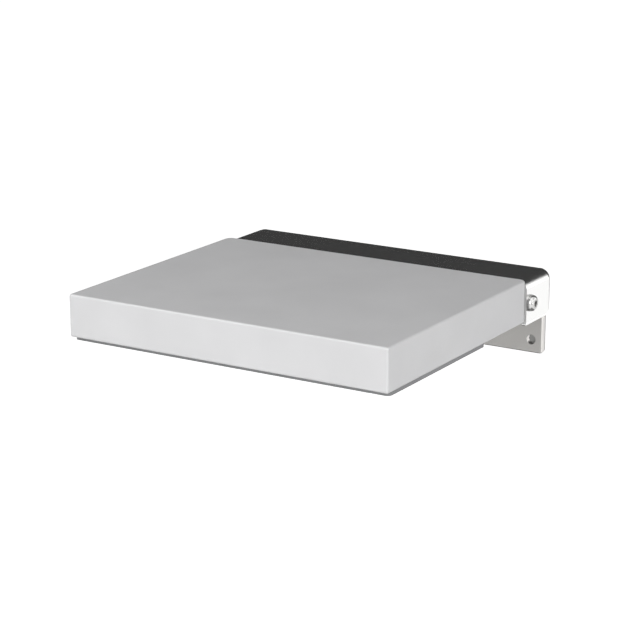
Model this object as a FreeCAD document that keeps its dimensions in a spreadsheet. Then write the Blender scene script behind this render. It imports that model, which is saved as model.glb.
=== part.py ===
import FreeCAD, Part
import math
import os
import re

import Sketcher

# Fold down wall seat. Millimetres, +X to the right of someone facing the wall, +Y into the wall,
# +Z up. The wall is the plane Y = 0 and the origin is the middle of the wall plate's back.

DOC = FreeCAD.newDocument("FoldDownWallSeat")
SHEET = DOC.addObject("Spreadsheet::Sheet", "Sizes")

SIZES = {
    # Seat slab: a firm moulded slab with rounded edges, hollow below for its core board
    "seat_width": 380,
    "seat_depth": 296,
    "slab_thickness": 46,
    "slab_top_round": 5.3,
    "slab_corner_round": 6.5,
    "slab_foot_round": 1.5,
    "recess_side_wall": 18,
    "recess_end_wall": 11,
    "recess_height": 18.5,
    "board_clearance": 0.25,
    "board_thickness": 18,
    # Base plate under the slab
    "base_thickness": 4,
    "base_front_inset": 6,
    "base_side_inset": 1.5,
    "base_rear_inset": 9.5,
    "base_corner_round": 5,
    "base_notch_width": 12,
    "base_notch_depth": 82,
    # Hinge hood: one folded steel sheet, open below and behind
    "hood_side_step": 0.3,
    "hood_top_step": 1.5,
    "hood_gap": 0.5,
    "hood_depth": 58.8,
    "hood_height": 50,
    "sheet_thickness": 5,
    "bend_inside": 6,
    "flange_rear_round": 8,
    "flange_front_round": 2,
    # Hinge line, measured back from the slab's rear face and down from the seat's top
    "pivot_setback": 8.5,
    "pivot_depth": 27,
    "axle_diameter": 16,
    "axle_end_gap": 0.2,
    "axle_chamfer": 0.8,
    "running_clearance": 0.05,
    "fixed_clearance": 0.02,
    # Wall plate and its gasket
    "plate_side_inset": 12.5,
    "plate_height": 92,
    "plate_thickness": 6,
    "plate_corner_round": 3,
    "plate_drop": 101,
    "wall_clearance": 1.7,
    "gasket_thickness": 3,
    "gasket_inset": 0.5,
    "fixing_hole": 10.5,
    "fixing_countersink": 4.7,
    "fixing_side_inset": 13.5,
    "fixing_end_inset": 15,
    # Bearing arms, welded to the wall plate
    "arm_rail_offset": 45,
    "arm_thickness": 16,
    "arm_nose_radius": 16,
    "arm_swing_clearance": 1.5,
    "arm_foot_inset": 3,
    "arm_head_drop": 18,
    "arm_toe_round": 7,
    # Flanged bushes, two in each arm
    "bush_outer": 20,
    "bush_flange_diameter": 26,
    "bush_flange": 1.5,
    "bush_middle_gap": 0.4,
    # Sleeves and thrust washers along the axle
    "sleeve_outer": 22,
    "sleeve_clearance": 0.15,
    "sleeve_groove_play": 1.5,
    "side_play": 0.3,
    "thrust_washer": 1.2,
    # Pivot screws at the hood's sides
    "screw_thread": 10,
    "screw_head": 17.5,
    "screw_head_height": 5.8,
    "screw_head_round": 4.2,
    "screw_reach": 28,
    "thread_depth": 27,
    "thread_clearance": 0.05,
    "socket_size": 6,
    "socket_depth": 3.6,
    "washer_outer": 18.5,
    "washer_thickness": 1.2,
    "washer_clearance": 0.3,
    # Seat rails and the blocks that join them to the axle and the hood
    "rail_side_inset": 55,
    "rail_width": 30,
    "rail_thickness": 8,
    "rail_front_inset": 60,
    "rail_clearance": 0.5,
    "block_front": 16,
    "block_rear_inset": 5,
    "block_clearance": 0.2,
    "block_chamfer": 11,
    "pocket_play": 2,
    "pocket_depth": 12,
    "skin_over_pocket": 9.5,
    # Stops
    "fold_angle": 94,
    "stop_gap": 0.35,
    "stop_bar_height": 20,
    "stop_bar_depth": 18,
    "stop_pad_thickness": 2,
    "stop_pad_width": 15,
    "stop_pad_height": 14,
    "rest_pad_thickness": 3,
    "rest_pad_start": 17,
    "rest_pad_length": 24,
    # Hidden screws, all driven from below
    "small_screw": 5,
    "small_screw_head": 9.5,
    "small_screw_head_height": 2.7,
    "small_screw_reach": 11,
    "small_screw_socket": 3,
    "insert_outer": 8,
    "insert_length": 12,
    "large_screw": 8,
    "large_screw_head": 13,
    "large_screw_head_height": 4.4,
    "large_screw_socket": 5,
    "block_screw_reach": 22,
    "stop_screw_reach": 23,
    "stop_screw_recess": 8,
    "board_screw_front_inset": 46,
    "board_screw_rear_inset": 40,
    "board_screw_side_inset": 110,
    "rail_screw_front_inset": 21,
    "rail_screw_rear_inset": 70,
    "stop_screw_pitch": 16,
    "block_screw_first": 14,
    "block_screw_pitch": 22,
}

# Sizes that follow from the driving ones
FORMULAS = {
    "board_bottom": "-slab_thickness",
    "board_screw_span": "seat_width - 2*board_screw_side_inset",
    "board_screw_front": "seat_depth - board_screw_front_inset",
    "rail_spacing": "seat_width - 2*rail_side_inset",
    "arm_distance": "rail_spacing - 2*arm_rail_offset",
    "rail_screw_front": "seat_depth - rail_front_inset - rail_screw_front_inset",
    "plate_width": "seat_width - 2*plate_side_inset",
    "fixing_span_x": "plate_width - 2*fixing_side_inset",
    "fixing_span_z": "plate_height - 2*fixing_end_inset",
    "seat_bottom": "-(slab_thickness + base_thickness)",
    "hood_rear": "hood_gap + hood_depth",
    "hood_outside": "seat_width/2 - hood_side_step",
    "hood_inside": "hood_outside - sheet_thickness",
    "hood_ceiling": "pivot_depth - hood_top_step - sheet_thickness",
    "sweep": "sqrt((hood_rear - pivot_setback)^2 + (pivot_depth - hood_top_step)^2)",
    "plate_face": "-(plate_thickness + gasket_thickness)",
    "pivot_y": "plate_face - wall_clearance - sweep",
    "seat_y": "pivot_y - pivot_setback",
    "seat_z": "plate_drop - plate_height/2",
    "pivot_z": "seat_z - pivot_depth",
    "arm_reach": "sweep + wall_clearance",
    "arm_foot": "plate_drop - pivot_depth - arm_foot_inset",
    "pad_floor": "hood_ceiling - rest_pad_thickness",
    "pad_end": "rest_pad_start + rest_pad_length",
    "block_top": "hood_ceiling - block_clearance",
    "arm_post_rear": "pad_floor*sin(fold_angle) + pad_end*cos(fold_angle) - stop_gap",
    "post_depth": "arm_nose_radius + arm_post_rear",
    "bush_length": "(arm_thickness - bush_middle_gap)/2",
    "arm_outer": "arm_distance/2 + arm_thickness/2",
    "arm_inner": "arm_distance/2 - arm_thickness/2",
    "block_inner": "rail_spacing/2 - rail_width/2",
    "block_outer": "rail_spacing/2 + rail_width/2",
    "block_height": "slab_thickness - rail_thickness - hood_top_step - sheet_thickness - 2*block_clearance",
    "block_length": "block_front + block_reach",
    "block_reach": "hood_rear - pivot_setback - block_rear_inset",
    "rail_top": "rail_thickness - slab_thickness",
    "pocket_start": "arm_inner - bush_flange - pocket_play",
    "pocket_end": "block_outer + pocket_play",
    "stop_bar_length": "rail_spacing + rail_width",
    "stop_bar_rear": "pivot_setback - arm_nose_radius - stop_gap - stop_pad_thickness",
    "stop_bar_middle": "stop_bar_rear - stop_bar_depth/2",
    "stop_bar_floor": "seat_bottom - stop_bar_height",
}


def sized(text):
    """Write the driving sizes of a formula as cells of the sheet."""
    def word(match):
        name = match.group(0)
        if name in FORMULAS:
            return "(" + sized(FORMULAS[name]) + ")"
        return "Sizes." + name if name in SIZES else name
    return re.sub(r"[a-z][a-z_]*", word, text)


def value(text):
    """Work a formula out as a number, for finding edges and testing sizes."""
    return float(SHEET.evalExpression(sized(text)))


def bind(thing, field, text):
    """Bind one property of an object to a formula of the sheet's sizes."""
    thing.setExpression(field, sized(text))


def place(thing, place_x, place_y, place_z):
    """Bind an object's place in the seat's overall frame."""
    for axis, text in zip("xyz", (place_x, place_y, place_z)):
        bind(thing, "Placement.Base." + axis, text)


def new_body(label, place_x="0", place_y="0", place_z="0"):
    """Start a body whose own origin stands at the given place."""
    body = DOC.addObject("PartDesign::Body", label)
    body.Label = label
    place(body, place_x, place_y, place_z)
    return body


def on_wall(label):
    """A body drawn from the middle of the wall plate's back."""
    return new_body(label)


def on_pivot(label, place_x="0"):
    """A body drawn from the hinge line."""
    return new_body(label, place_x, "pivot_y", "pivot_z")


def on_seat(label, place_x="0"):
    """A body drawn from the top of the slab's rear face, with the seat down."""
    return new_body(label, place_x, "seat_y", "seat_z")


def new_sketch(body, plane, centre, level):
    """Attach a sketch to one of the body's own planes, moved to a centre and a level."""
    sketch = body.newObject("Sketcher::SketchObject", body.Label + "_sketch")
    role = plane + "_Plane"
    support = [item for item in body.Origin.OriginFeatures if item.Role == role][0]
    sketch.AttachmentSupport = [(support, "")]
    sketch.MapMode = "FlatFace"
    for axis, text in zip("xyz", (*centre, level)):
        bind(sketch, "AttachmentOffset.Base." + axis, text)
    return sketch


def constrain(sketch, *terms):
    """Add one constraint and give back its number."""
    return sketch.addConstraint(Sketcher.Constraint(*terms))


def rectangle(body, plane, centre, width, height, level="0"):
    """Sketch a rectangle about its centre."""
    sketch = new_sketch(body, plane, centre, level)
    half_w, half_h = value(width) / 2, value(height) / 2
    corners = [(-half_w, -half_h), (half_w, -half_h), (half_w, half_h), (-half_w, half_h)]
    points = [FreeCAD.Vector(x, y, 0) for x, y in corners]
    for start in range(4):
        sketch.addGeometry(Part.LineSegment(points[start], points[(start + 1) % 4]))
    for line in range(4):
        constrain(sketch, "Coincident", line, 2, (line + 1) % 4, 1)
        constrain(sketch, "Vertical" if line % 2 else "Horizontal", line)
    constrain(sketch, "Symmetric", 0, 1, 2, 1, -1, 1)
    for line, size, kind in ((0, width, "DistanceX"), (1, height, "DistanceY")):
        datum = constrain(sketch, kind, line, 1, line, 2, value(size))
        bind(sketch, f"Constraints[{datum}]", size)
    return sketch


def circles(body, plane, centre, diameters, level="0"):
    """Sketch one circle, or the two circles of a ring, about a centre."""
    sketch = new_sketch(body, plane, centre, level)
    for diameter in diameters:
        round_one = Part.Circle(FreeCAD.Vector(), FreeCAD.Vector(0, 0, 1), value(diameter) / 2)
        edge = sketch.addGeometry(round_one)
        constrain(sketch, "Coincident", edge, 3, -1, 1)
        datum = constrain(sketch, "Diameter", edge, value(diameter))
        bind(sketch, f"Constraints[{datum}]", diameter)
    return sketch


def hexagon(body, plane, centre, across_flats, level="0"):
    """Sketch a hexagon for a key's socket."""
    sketch = new_sketch(body, plane, centre, level)
    radius = across_flats + "/sqrt(3)"
    reach = value(radius)
    points = [FreeCAD.Vector(reach, 0, 0)]
    for step in range(1, 6):
        turn = math.radians(60 * step)
        points.append(FreeCAD.Vector(reach * math.cos(turn), reach * math.sin(turn), 0))
    for start in range(6):
        sketch.addGeometry(Part.LineSegment(points[start], points[(start + 1) % 6]))
    guide = sketch.addGeometry(Part.Circle(FreeCAD.Vector(), FreeCAD.Vector(0, 0, 1), reach), True)
    constrain(sketch, "Coincident", guide, 3, -1, 1)
    for line in range(6):
        constrain(sketch, "Coincident", line, 2, (line + 1) % 6, 1)
        constrain(sketch, "PointOnObject", line, 1, guide)
    for line in range(1, 6):
        constrain(sketch, "Equal", 0, line)
    constrain(sketch, "PointOnObject", 0, 1, -1)
    datum = constrain(sketch, "Radius", guide, reach)
    bind(sketch, f"Constraints[{datum}]", radius)
    return sketch


def add(body, sketch, length, both_ways=False):
    """Pad a sketch along its plane's normal, or evenly to both sides of it."""
    pad = body.newObject("PartDesign::Pad", body.Label + "_pad")
    pad.Profile = sketch
    pad.Midplane = both_ways
    bind(pad, "Length", length)
    DOC.recompute()
    return pad


def cut(body, sketch, length, both_ways=False):
    """Cut a sketch out along its plane's normal, and make sure that it removes something."""
    before = body.Shape.Volume
    pocket = body.newObject("PartDesign::Pocket", body.Label + "_pocket")
    pocket.Profile = sketch
    pocket.Midplane = both_ways
    pocket.Reversed = not both_ways
    bind(pocket, "Length", length)
    DOC.recompute()
    if body.Shape.Volume >= before:
        raise RuntimeError(body.Label + ": a cut removed nothing")
    return pocket


def edges_along(body, axis, *near):
    """Names of straight edges along an axis, at given places in the body's own frame.

    Each place is a pair of formulas for the other two axes, with None where any will do.
    """
    others = [other for other in "xyz" if other != axis]
    names = []
    for number, edge in enumerate(body.Tip.Shape.Edges, 1):
        if edge.Curve.TypeId != "Part::GeomLine" or abs(getattr(edge.Curve.Direction, axis)) < 0.99:
            continue
        middle = edge.CenterOfMass
        for wanted in near:
            gaps = [abs(getattr(middle, other) - value(text))
                    for other, text in zip(others, wanted) if text is not None]
            if all(gap < 0.01 for gap in gaps):
                names.append(f"Edge{number}")
                break
    if not names:
        raise RuntimeError(body.Label + ": no edge found to round")
    return names


def ring_edges(body, axis, place, diameter):
    """Names of round edges of a diameter, at a place along an axis."""
    names = []
    for number, edge in enumerate(body.Tip.Shape.Edges, 1):
        if edge.Curve.TypeId != "Part::GeomCircle":
            continue
        away = abs(getattr(edge.Curve.Center, axis) - value(place))
        if away < 0.01 and abs(2 * edge.Curve.Radius - value(diameter)) < 0.01:
            names.append(f"Edge{number}")
    return names


def dress(body, kind, edges, size):
    """Add a Fillet or a Chamfer to some edges of the body."""
    base = body.Tip
    feature = body.newObject("PartDesign::" + kind, body.Label + "_" + kind.lower())
    feature.Base = (base, edges)
    bind(feature, "Radius" if kind == "Fillet" else "Size", size)
    DOC.recompute()
    return feature


def corners(half_width, half_height):
    """The four places of a rectangle's corners about the origin."""
    return [(sign_w + half_width, sign_h + half_height)
            for sign_w in ("", "-") for sign_h in ("", "-")]


def make_wall_plate():
    """Flat plate on the wall, with four fixing holes."""
    body = on_wall("wall_plate")
    add(body, rectangle(body, "XZ", ("0", "0"), "plate_width", "plate_height", "gasket_thickness"),
        "plate_thickness")
    cut_fixing_holes(body, "gasket_thickness", "plate_thickness")
    edges = edges_along(body, "y", *corners("plate_width/2", "plate_height/2"))
    dress(body, "Fillet", edges, "plate_corner_round")
    dress(body, "Chamfer", upper_rims(body), "fixing_countersink")


def upper_rims(body):
    """Front rims of the upper fixing holes, where the hood passes close over the screws' heads."""
    names = ring_edges(body, "y", "plate_face", "fixing_hole")
    return [name for name in names if body.Tip.Shape.getElement(name).CenterOfMass.z > 0]


def cut_fixing_holes(body, level, length):
    """The four fixing holes, shared by the plate and its gasket."""
    for place_x, place_z in corners("fixing_span_x/2", "fixing_span_z/2"):
        cut(body, circles(body, "XZ", (place_x, place_z), ["fixing_hole"], level), length)


def make_wall_gasket():
    """Thin gasket between the plate and the wall."""
    body = on_wall("wall_gasket")
    width, height = "plate_width - 2*gasket_inset", "plate_height - 2*gasket_inset"
    add(body, rectangle(body, "XZ", ("0", "0"), width, height), "gasket_thickness")
    cut_fixing_holes(body, "0", "gasket_thickness")
    edges = edges_along(body, "y", *corners(f"({width})/2", f"({height})/2"))
    dress(body, "Fillet", edges, "plate_corner_round")


def make_arm(side, sign):
    """Bearing arm: a plate that rises from the wall plate's foot round the hood's swing."""
    body = on_pivot(side + "_arm", sign + "arm_distance/2")
    web_height, web_length = "arm_foot - arm_head_drop", "arm_nose_radius + arm_reach"
    add(body, rectangle(body, "YZ", ("(arm_reach - arm_nose_radius)/2", "-(arm_foot + arm_head_drop)/2"),
                        web_length, web_height), "arm_thickness", True)
    cut(body, circles(body, "YZ", ("0", "0"), ["2*(sweep + arm_swing_clearance)"]),
        "arm_thickness", True)
    post_centre = ("(arm_post_rear - arm_nose_radius)/2", "-arm_foot/2")
    add(body, rectangle(body, "YZ", post_centre, "post_depth", "arm_foot"), "arm_thickness", True)
    add(body, circles(body, "YZ", ("0", "0"), ["2*arm_nose_radius"]), "arm_thickness", True)
    bore = "bush_outer + 2*fixed_clearance"
    cut(body, circles(body, "YZ", ("0", "0"), [bore]), "arm_thickness", True)
    toe = edges_along(body, "x", ("-arm_nose_radius", "-arm_foot"))
    dress(body, "Fillet", toe, "arm_toe_round")


def make_bush(side, sign, half, outward):
    """Half of an arm's flanged bush, pushed in from one face of the arm."""
    body = on_pivot(f"{side}_bush_{half}", sign + "arm_distance/2")
    flange_level = "arm_thickness/2" if outward else "-(arm_thickness/2 + bush_flange)"
    barrel_level = "bush_middle_gap/2" if outward else "-arm_thickness/2"
    add(body, circles(body, "YZ", ("0", "0"), ["bush_flange_diameter"], flange_level), "bush_flange")
    add(body, circles(body, "YZ", ("0", "0"), ["bush_outer"], barrel_level), "bush_length")
    bore = "axle_diameter + 2*running_clearance"
    cut(body, circles(body, "YZ", ("0", "0"), [bore], "-arm_thickness"), "2*arm_thickness")


def make_ring(label, inner, outer, start, length):
    """A plain ring round the hinge line, from a start along X."""
    body = on_pivot(label)
    add(body, circles(body, "YZ", ("0", "0"), [inner, outer], start), length)


def make_axle_rings():
    """Sleeves that space the hinge, and the thrust washers beside the arms."""
    bore = "axle_diameter + 2*sleeve_clearance"
    washer_start = "arm_outer + bush_flange + side_play"
    inner_start = washer_start + " + thrust_washer"
    inner_length = f"block_inner - ({inner_start}) - block_clearance"
    outer_start = "block_outer + block_clearance"
    outer_length = f"hood_inside - ({outer_start}) - block_clearance"
    for side, mirror in (("right", False), ("left", True)):
        for label, outer, start, length in (
                ("thrust_washer", "bush_flange_diameter", washer_start, "thrust_washer"),
                ("inner_sleeve", "sleeve_outer", inner_start, inner_length),
                ("outer_sleeve", "sleeve_outer", outer_start, outer_length)):
            begin = f"-({start}) - ({length})" if mirror else start
            make_ring(f"{side}_{label}", bore, outer, begin, length)
    half = "(arm_inner - bush_flange - side_play)"
    make_ring("centre_sleeve", bore, "sleeve_outer", "-" + half, "2*" + half)


def make_axle():
    """Axle bar between the hood's flanges, tapped at both ends."""
    body = on_pivot("hinge_axle")
    half = "(hood_inside - axle_end_gap)"
    add(body, circles(body, "YZ", ("0", "0"), ["axle_diameter"]), "2*" + half, True)
    tapped = "screw_thread + 2*thread_clearance"
    for start in (f"{half} - thread_depth", "-" + half):
        cut(body, circles(body, "YZ", ("0", "0"), [tapped], start), "thread_depth")
    rims = ring_edges(body, "x", half, "axle_diameter") + ring_edges(body, "x", "-" + half, "axle_diameter")
    dress(body, "Chamfer", rims, "axle_chamfer")


def make_pivot_screw(side, sign):
    """Domed socket screw that clamps a flange of the hood to the axle's end."""
    body = on_pivot(side + "_pivot_screw", sign + "(hood_outside + washer_thickness)")
    outward = sign == ""
    head_start = "0" if outward else "-screw_head_height"
    shank_start = "-screw_reach" if outward else "0"
    socket_start = "screw_head_height - socket_depth" if outward else "-screw_head_height"
    add(body, circles(body, "YZ", ("0", "0"), ["screw_head"], head_start), "screw_head_height")
    face = "screw_head_height" if outward else "-screw_head_height"
    dress(body, "Fillet", ring_edges(body, "x", face, "screw_head"), "screw_head_round")
    add(body, circles(body, "YZ", ("0", "0"), ["screw_thread"], shank_start), "screw_reach")
    cut(body, hexagon(body, "YZ", ("0", "0"), "socket_size", socket_start), "socket_depth")


def make_pivot_washers():
    """Washers under the pivot screws' heads."""
    bore = "screw_thread + 2*washer_clearance"
    make_ring("right_pivot_washer", bore, "washer_outer", "hood_outside", "washer_thickness")
    make_ring("left_pivot_washer", bore, "washer_outer", "-(hood_outside + washer_thickness)",
              "washer_thickness")


def make_hood():
    """Hinge hood: a sheet folded down at both sides, flush with the slab in front."""
    body = on_seat("hinge_hood")
    middle_y = "hood_gap + hood_depth/2"
    middle_z = "-hood_top_step - hood_height/2"
    add(body, rectangle(body, "XY", ("0", middle_y), "2*hood_outside", "hood_depth",
                        "-hood_top_step - hood_height"), "hood_height")
    shoulders = edges_along(body, "y", ("hood_outside", "-hood_top_step"),
                            ("-hood_outside", "-hood_top_step"))
    dress(body, "Fillet", shoulders, "bend_inside + sheet_thickness")
    cut(body, rectangle(body, "XY", ("0", middle_y), "2*hood_inside", "hood_depth",
                        "-hood_top_step - hood_height"), "hood_height - sheet_thickness")
    ceiling = "-hood_top_step - sheet_thickness"
    dress(body, "Fillet", edges_along(body, "y", ("hood_inside", ceiling), ("-hood_inside", ceiling)),
          "bend_inside")
    cut(body, circles(body, "YZ", ("pivot_setback", "-pivot_depth"), ["screw_thread + 2*washer_clearance"]),
        "2*seat_width", True)
    foot = "-hood_top_step - hood_height"
    dress(body, "Fillet", edges_along(body, "x", ("hood_rear", foot)), "flange_rear_round")
    dress(body, "Fillet", edges_along(body, "x", ("hood_gap", foot)), "flange_front_round")


def make_slab():
    """Seat slab, with a recess below, pockets for arms and blocks, and a groove for the sleeves."""
    body = on_seat("seat_slab")
    add(body, rectangle(body, "XY", ("0", "-seat_depth/2"), "seat_width", "seat_depth",
                        "-slab_thickness"), "slab_thickness")
    upright = [(place_x, place_y) for place_x in ("seat_width/2", "-seat_width/2")
               for place_y in ("0", "-seat_depth")]
    dress(body, "Fillet", edges_along(body, "z", *upright), "slab_corner_round")
    dress(body, "Fillet", rim_edges(body, "0"), "slab_top_round")
    dress(body, "Fillet", rim_edges(body, "-slab_thickness"), "slab_foot_round")
    cut(body, board_outline(body, "-slab_thickness", "0"), "recess_height")
    pocket_middle, pocket_width = "(pocket_start + pocket_end)/2", "pocket_end - pocket_start"
    for sign in ("", "-"):
        centre = (f"{sign}({pocket_middle})", "-pocket_depth/2")
        cut(body, rectangle(body, "XY", centre, pocket_width, "pocket_depth", "-slab_thickness"),
            "slab_thickness - skin_over_pocket")
    groove = circles(body, "YZ", ("pivot_setback", "-pivot_depth"),
                     ["sleeve_outer + 2*sleeve_groove_play"])
    cut(body, groove, "2*hood_inside", True)


def rim_edges(body, level):
    """Names of all edges of the body in a level plane."""
    names = []
    for number, edge in enumerate(body.Tip.Shape.Edges, 1):
        box = edge.BoundBox
        if abs(box.ZMin - value(level)) < 0.01 and abs(box.ZMax - value(level)) < 0.01:
            names.append(f"Edge{number}")
    return names


def board_outline(body, level, inset):
    """Rectangle of the slab's recess, or of the board in it with an inset all round."""
    width = f"seat_width - 2*recess_side_wall - 2*({inset})"
    length = f"seat_depth - 2*recess_end_wall - 2*({inset})"
    return rectangle(body, "XY", ("0", "-seat_depth/2"), width, length, level)


def make_board():
    """Core board in the slab's recess, grooved below for the two rails."""
    body = on_seat("core_board")
    add(body, board_outline(body, "-slab_thickness", "board_clearance"), "board_thickness")
    rail_front = "-seat_depth + rail_front_inset - rail_clearance"
    groove_length = f"recess_end_wall - ({rail_front})"
    for sign in ("", "-"):
        centre = (sign + "rail_spacing/2", f"({rail_front} - recess_end_wall)/2 + recess_end_wall")
        groove = rectangle(body, "XY", centre, "rail_width + 2*rail_clearance", groove_length,
                           "-slab_thickness")
        cut(body, groove, "rail_thickness + rail_clearance")
    for place_x, place_y in BOARD_SCREWS:
        cut(body, circles(body, "XY", (place_x, place_y), ["insert_outer + 2*fixed_clearance"],
                          "-slab_thickness"), "insert_length + fixed_clearance")


def make_base():
    """Base plate that closes the slab's underside, narrower beside the hinge."""
    body = on_seat("base_plate")
    front, rear = "-(seat_depth - base_front_inset)", "-base_rear_inset"
    centre = ("0", f"({front} + {rear})/2")
    add(body, rectangle(body, "XY", centre, "seat_width - 2*base_side_inset", f"{rear} - ({front})",
                        "seat_bottom"), "base_thickness")
    upright = []
    for sign in ("", "-"):
        side, step = (f"{sign}(seat_width/2 - base_side_inset{less})" for less in ("", " - base_notch_width"))
        notch = rectangle(body, "XY", (side, rear), "2*base_notch_width", "2*base_notch_depth", "seat_bottom")
        cut(body, notch, "base_thickness")
        upright += [(side, front), (side, f"{rear} - base_notch_depth"), (step, rear),
                    (step, f"{rear} - base_notch_depth")]
    dress(body, "Fillet", edges_along(body, "z", *upright), "base_corner_round")
    small, large = "small_screw + 2*washer_clearance", "large_screw + 2*washer_clearance"
    for places, hole in ((BOARD_SCREWS, small), (RAIL_SCREWS, small), (STOP_SCREWS, large)):
        for centre in places:
            cut(body, circles(body, "XY", centre, [hole], "seat_bottom"), "base_thickness")


def make_rail(side, sign):
    """Flat steel rail that carries the slab back to the hinge block."""
    body = on_seat(side + "_seat_rail", sign + "rail_spacing/2")
    front, rear = "(rail_front_inset - seat_depth)", "(pivot_setback + block_reach)"
    add(body, rectangle(body, "XY", ("0", f"({front} + {rear})/2"), "rail_width", f"{rear} - {front}",
                        "-slab_thickness"), "rail_thickness")
    hole = "+ 2*thread_clearance"
    for offset, place_y in RAIL_TAPS:
        cut(body, circles(body, "XY", (offset, place_y), ["small_screw" + hole], "-slab_thickness"),
            "rail_thickness")
    for offset, place_y in STOP_TAPS:
        cut(body, circles(body, "XY", (offset, place_y), ["large_screw" + hole], "-slab_thickness"),
            "rail_thickness")
    for place_y in BLOCK_TAPS:
        cut(body, circles(body, "XY", ("0", place_y), ["large_screw + 2*washer_clearance"],
                          "-slab_thickness"), "rail_thickness")


def make_block(side, sign):
    """Hinge block: holds the axle, stands on the rail and carries the hood's top."""
    body = on_pivot(side + "_hinge_block", sign + "rail_spacing/2")
    floor = "pivot_depth + rail_top + block_clearance"
    add(body, rectangle(body, "YZ", ("(block_reach - block_front)/2", f"{floor} + block_height/2"),
                        "block_length", "block_height"), "rail_width", True)
    dress(body, "Chamfer", edges_along(body, "x", ("-block_front", "block_top")), "block_chamfer")
    cut(body, circles(body, "YZ", ("0", "0"), ["axle_diameter + 2*fixed_clearance"]), "rail_width", True)
    for place_y in BLOCK_TAPS:
        hole = circles(body, "XY", ("0", place_y + " - pivot_setback"),
                       ["large_screw + 2*thread_clearance"], floor)
        cut(body, hole, "block_screw_reach - rail_thickness + block_clearance")


def make_stop_bar():
    """Bar under the seat that bears on the arms, through its pads, when the seat is down."""
    body = on_seat("stop_bar")
    add(body, rectangle(body, "XY", ("0", "stop_bar_middle"), "stop_bar_length", "stop_bar_depth",
                        "stop_bar_floor"), "stop_bar_height")
    for centre in STOP_SCREWS:
        cut(body, circles(body, "XY", centre, ["large_screw + 2*washer_clearance"], "stop_bar_floor"),
            "stop_bar_height")
        cut(body, circles(body, "XY", centre, ["large_screw_head + 2*washer_clearance"],
                          "stop_bar_floor"), "stop_screw_recess")


def make_stop_pad(side, sign):
    """Pad between the stop bar and an arm."""
    body = on_seat(side + "_stop_pad", sign + "arm_distance/2")
    add(body, rectangle(body, "XZ", ("0", "seat_bottom - stop_bar_height/2"), "stop_pad_width",
                        "stop_pad_height", "-(stop_bar_rear + stop_pad_thickness)"),
        "stop_pad_thickness")


def make_rest_pad(side, sign):
    """Pad under the hood's top that meets the arm when the seat is folded up."""
    body = on_pivot(side + "_rest_pad", sign + "arm_distance/2")
    add(body, rectangle(body, "XY", ("0", "rest_pad_start + rest_pad_length/2"), "stop_pad_width",
                        "rest_pad_length", "pad_floor"), "rest_pad_thickness")


def primitive(kind, label, centre, **sizes):
    """A Part primitive in the seat's frame with its sizes bound to formulas."""
    thing = DOC.addObject("Part::" + kind, label)
    for field, text in sizes.items():
        bind(thing, field, text)
    place_x, place_y, place_z = centre
    place(thing, place_x, f"seat_y + {place_y}", f"seat_z + {place_z}")
    return thing


def make_screws(label, places, floor, head, head_height, thread, reach, socket):
    """A group of socket screws driven upwards, one separate solid at each place."""
    screws = []
    for place_x, place_y in places:
        below = f"({floor} - {head_height})"
        cap = primitive("Cylinder", label + "_head", (place_x, place_y, below),
                        Radius=head + "/2", Height=head_height)
        shank = primitive("Cylinder", label + "_shank", (place_x, place_y, below),
                          Radius=thread + "/2", Height=f"{head_height} + {reach}")
        key = primitive("Prism", label + "_key", (place_x, place_y, below),
                        Circumradius=socket + "/sqrt(3)", Height=head_height + "/2")
        whole = DOC.addObject("Part::Fuse", label + "_whole")
        whole.Base, whole.Tool = cap, shank
        screw = DOC.addObject("Part::Cut", label + "_screw")
        screw.Base, screw.Tool = whole, key
        screws.append(screw)
    group(label, screws)


def group(label, members):
    """Join identical fasteners into one node of separate solids."""
    compound = DOC.addObject("Part::Compound", label)
    compound.Label = label
    compound.Links = members


def make_inserts():
    """Threaded inserts pressed into the core board."""
    inserts = []
    for place_x, place_y in BOARD_SCREWS:
        centre = (place_x, place_y, "board_bottom")
        sleeve = primitive("Cylinder", "insert_body", centre, Radius="insert_outer/2",
                           Height="insert_length")
        bore = primitive("Cylinder", "insert_bore", centre, Height="insert_length",
                         Radius="small_screw/2 + thread_clearance")
        insert = DOC.addObject("Part::Cut", "insert")
        insert.Base, insert.Tool = sleeve, bore
        inserts.append(insert)
    group("board_inserts", inserts)


BOARD_SCREWS = [(f"{sign}board_screw_span/2", f"-{place}") for sign in ("", "-")
                for place in ("board_screw_front", "board_screw_rear_inset")]
RAIL_TAPS = [("0", "-rail_screw_front"), ("0", "-rail_screw_rear_inset")]
RAIL_SCREWS = [(f"{sign}rail_spacing/2", place_y) for sign in ("", "-") for _, place_y in RAIL_TAPS]
STOP_TAPS = [(f"{sign}stop_screw_pitch/2", "stop_bar_middle") for sign in ("", "-")]
STOP_SCREWS = [(f"{side}rail_spacing/2 {offset}stop_screw_pitch/2", "stop_bar_middle")
               for side in ("", "-") for offset in ("+", "-")]
BLOCK_TAPS = ["pivot_setback + block_screw_first", "pivot_setback + block_screw_first + block_screw_pitch"]
BLOCK_SCREWS = [(f"{sign}rail_spacing/2", place_y) for sign in ("", "-") for place_y in BLOCK_TAPS]


def make_sheet():
    """Fill the sheet with the driving sizes, one named cell each."""
    for row, (name, size) in enumerate(SIZES.items(), 1):
        SHEET.set(f"A{row}", name)
        SHEET.set(f"B{row}", str(size))
        SHEET.setAlias(f"B{row}", name)
    DOC.recompute()


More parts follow.
